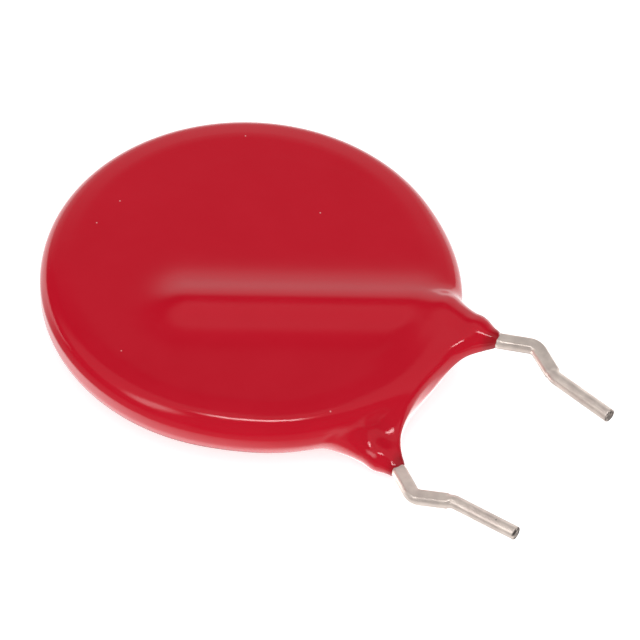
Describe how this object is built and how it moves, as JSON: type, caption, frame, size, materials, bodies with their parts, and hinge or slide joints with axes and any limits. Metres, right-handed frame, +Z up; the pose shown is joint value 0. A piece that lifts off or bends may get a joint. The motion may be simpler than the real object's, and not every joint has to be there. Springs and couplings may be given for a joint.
{
  "type": "radial-leaded metal oxide varistor",
  "caption": "Radial-leaded disc varistor with a dipped glossy coat, diagonal ridges over its soldered wires, a concave web between its tabs, and short crimped leads.",
  "frame": {"origin": "centre of the bounding box's bottom, with the disc lying flat on one face's coat", "axes": "+X from the disc along the leads, +Y across both leads, +Z up through the disc's faces"},
  "size_m": [0.0348, 0.024, 0.0049],
  "materials": {
    "coat": "glossy dipped resin",
    "ceramic": "matte fired oxide",
    "film": "matte fired silver film",
    "tinned_wire": "dull tinned wire",
    "solder": "satin solder"
  },
  "bodies": {
    "root": {"coating": "coat", "ceramic_disc": "ceramic", "electrode_top": "film", "electrode_bottom": "film", "lead_top": "tinned_wire", "lead_bottom": "tinned_wire", "solder_top": "solder", "solder_bottom": "solder"}
  },
  "joints": []
}
